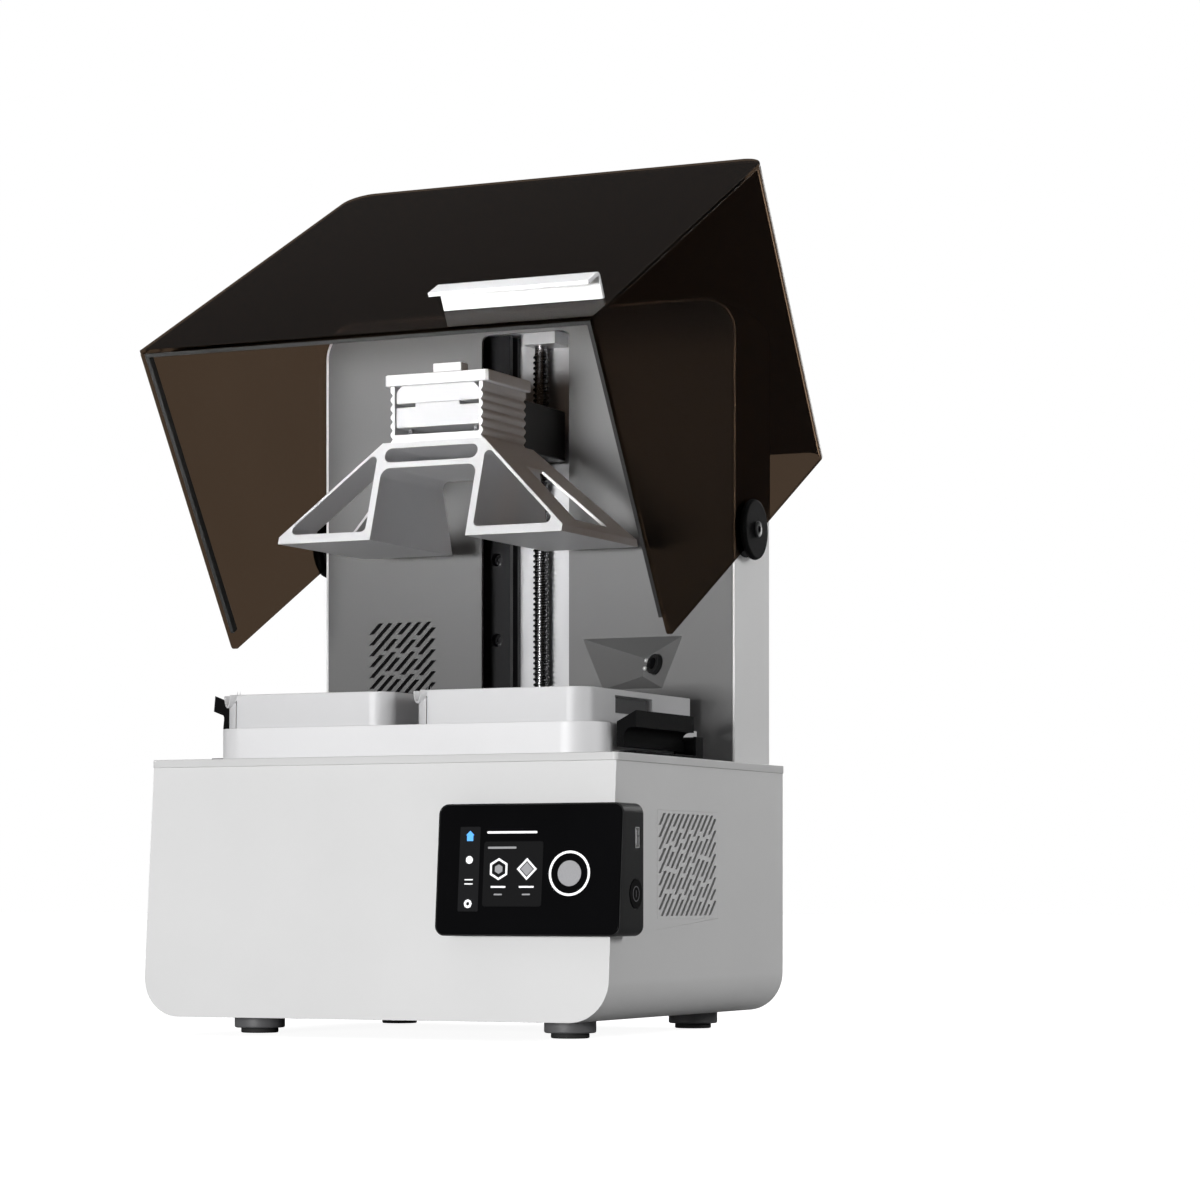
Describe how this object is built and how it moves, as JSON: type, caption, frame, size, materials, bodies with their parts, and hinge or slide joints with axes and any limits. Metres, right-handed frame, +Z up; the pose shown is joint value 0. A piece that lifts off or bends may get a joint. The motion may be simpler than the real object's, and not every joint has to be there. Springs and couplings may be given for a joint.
{
  "type": "resin printer",
  "caption": "Desktop resin printer: raked base with touch display, rear lift column with raised build platform, resin trays and a smoked hood that swings up.",
  "frame": {"origin": "on the floor, under the middle of the base's top plate", "axes": "+X to the right as seen from the front, +Y to the back, +Z up"},
  "size_m": [0.3742, 0.43, 0.6377],
  "materials": {
    "shell_white": "white satin paint",
    "plate_grey": "light grey satin coat",
    "column_white": "white satin paint",
    "silver_cast": "satin anodised",
    "tray_silver": "fine satin",
    "channel_silver": "anodised extrusion",
    "rail_steel": "dark ground steel",
    "screw_steel": "ground steel",
    "black_part": "fine matt black",
    "foot_grey": "matt grey",
    "soft_black": "matt rubber",
    "hood_smoke": "polished smoked acrylic",
    "handle_white": "bright satin",
    "glass_black": "polished black",
    "screen_glass": "polished glass",
    "film_clear": "clear film",
    "socket_metal": "plated steel",
    "board_green": "circuit board"
  },
  "bodies": {
    "stand": {"base_shell": "shell_white", "side_grille": "shell_white", "rear_panel": "shell_white", "top_plate": "plate_grey", "feet": "foot_grey", "foot_pads": "soft_black", "exposure_screen": "screen_glass", "lamp_housing": "black_part", "lamp_board": "board_green", "lamp_heat_sink": "channel_silver", "mainboard": "board_green", "power_supply": "black_part", "power_inlet": "black_part", "column_shell": "column_white", "column_front": "column_white", "camera_pocket": "column_white", "camera_lens": "glass_black", "lift_channel": "channel_silver", "guide_rail": "rail_steel", "lift_motor": "black_part", "top_bearing": "black_part", "limit_sensor": "black_part", "vat_frame": "tray_silver", "tray_left": "tray_silver", "tray_right": "tray_silver", "release_films": "film_clear", "vat_brackets": "black_part", "display_glass": "glass_black", "display_case": "black_part", "data_socket": "socket_metal", "hinge_bases": "black_part"},
    "hood": {"hood_shell": "hood_smoke", "hood_front": "hood_smoke", "hood_gasket": "soft_black", "hinge_caps": "black_part", "hood_handle": "handle_white"},
    "carriage": {"rail_block": "black_part", "lead_nut": "black_part", "lift_arm": "black_part", "platform_head": "silver_cast", "head_cap": "silver_cast", "clamp_lower": "silver_cast", "clamp_upper": "silver_cast", "levelling_screws": "rail_steel", "build_platform": "silver_cast", "release_bracket": "silver_cast"},
    "release": {"release_lever": "silver_cast"},
    "screw": {"lead_screw": "screw_steel"},
    "left_clip": {"vat_lever_left": "black_part"},
    "right_clip": {"vat_lever_right": "black_part"},
    "button": {"power_button": "black_part"}
  },
  "joints": [
    {"name": "hood_hinge", "type": "hinge", "parent": "stand", "child": "hood", "pos_m": [0, 0.098, 0.3615], "axis": [1, 0, 0], "range_deg": [0, 58]},
    {"name": "platform_lift", "type": "slide", "parent": "stand", "child": "carriage", "axis": [0, 0, 1], "range_m": [-0.152, 0.02]},
    {"name": "screw_turn", "type": "hinge", "parent": "stand", "child": "screw", "pos_m": [0, 0.108, 0.35], "axis": [0, 0, 1], "continuous": true},
    {"name": "release_flip", "type": "hinge", "parent": "carriage", "child": "release", "pos_m": [0, 0.002, 0.4686], "axis": [-1, 0, 0], "range_deg": [0, 40]},
    {"name": "left_clip_hinge", "type": "hinge", "parent": "stand", "child": "left_clip", "pos_m": [-0.1584, 0.02, 0.202], "axis": [-1, 0, 0], "range_deg": [-9.5, 50]},
    {"name": "right_clip_hinge", "type": "hinge", "parent": "stand", "child": "right_clip", "pos_m": [0.1584, 0.02, 0.202], "axis": [-1, 0, 0], "range_deg": [0, 60]},
    {"name": "button_press", "type": "slide", "parent": "stand", "child": "button", "axis": [-1, 0, 0], "range_m": [0, 0.0012], "stiffness_N_per_m": 1500}
  ],
  "couplings": [
    {"joint": "screw_turn", "follows": "platform_lift", "rad_per_m": 1570.8}
  ]
}
